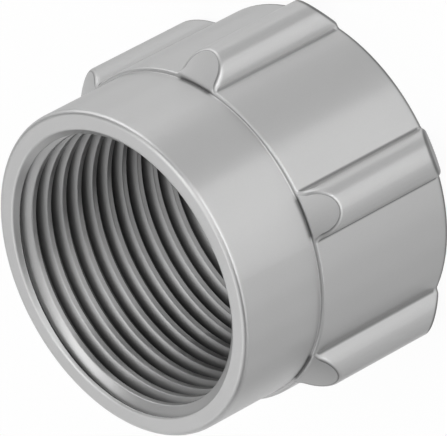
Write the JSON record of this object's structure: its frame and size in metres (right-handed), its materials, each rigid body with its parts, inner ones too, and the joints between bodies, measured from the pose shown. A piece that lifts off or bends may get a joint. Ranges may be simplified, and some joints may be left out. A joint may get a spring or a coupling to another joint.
{
  "type": "union nut",
  "caption": "Hand-tight union nut: a ribbed body with a plain collar, a threaded mouth and an inward shoulder that pulls a flanged tail pipe tight.",
  "frame": {"origin": "middle of the ribbed end face, which the nut stands on", "axes": "+Z along the thread axis, up towards the threaded mouth; +X through the middle of one rib"},
  "size_m": [0.0292, 0.0258, 0.02],
  "materials": {
    "satin_steel": "fine satin, as blasted and tumbled"
  },
  "bodies": {
    "root": {"union_nut": "satin_steel"}
  },
  "joints": []
}
